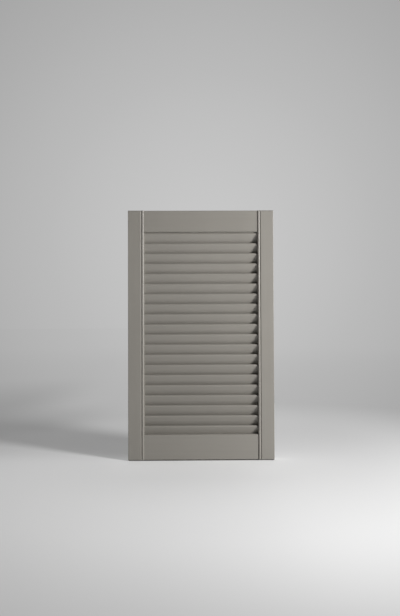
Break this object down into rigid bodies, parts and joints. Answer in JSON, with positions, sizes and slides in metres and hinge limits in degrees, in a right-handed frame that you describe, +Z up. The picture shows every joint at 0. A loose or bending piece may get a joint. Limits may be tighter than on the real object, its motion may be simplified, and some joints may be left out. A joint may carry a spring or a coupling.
{
  "type": "louvred shutter panel",
  "caption": "Painted wooden shutter panel: beaded stiles and two rails framing a ladder of fixed sloping slats that screen a window and let air through.",
  "frame": {"origin": "middle of the bottom edge, on the surface that the panel stands on, half way through its thickness", "axes": "+Z up along the stiles, +X across the panel to the right as seen from the front, +Y through the panel from front to back"},
  "size_m": [0.402, 0.03, 0.688],
  "materials": {
    "paint": "satin warm grey paint on wood",
    "dowel_wood": "bare hardwood"
  },
  "bodies": {
    "root": {"left_stile": "paint", "right_stile": "paint", "top_rail": "paint", "bottom_rail": "paint", "rail_dowels": "dowel_wood", "slat_01": "paint", "slat_02": "paint", "slat_03": "paint", "slat_04": "paint", "slat_05": "paint", "slat_06": "paint", "slat_07": "paint", "slat_08": "paint", "slat_09": "paint", "slat_10": "paint", "slat_11": "paint", "slat_12": "paint", "slat_13": "paint", "slat_14": "paint", "slat_15": "paint", "slat_16": "paint", "slat_17": "paint", "slat_18": "paint", "slat_19": "paint", "slat_20": "paint"}
  },
  "joints": []
}
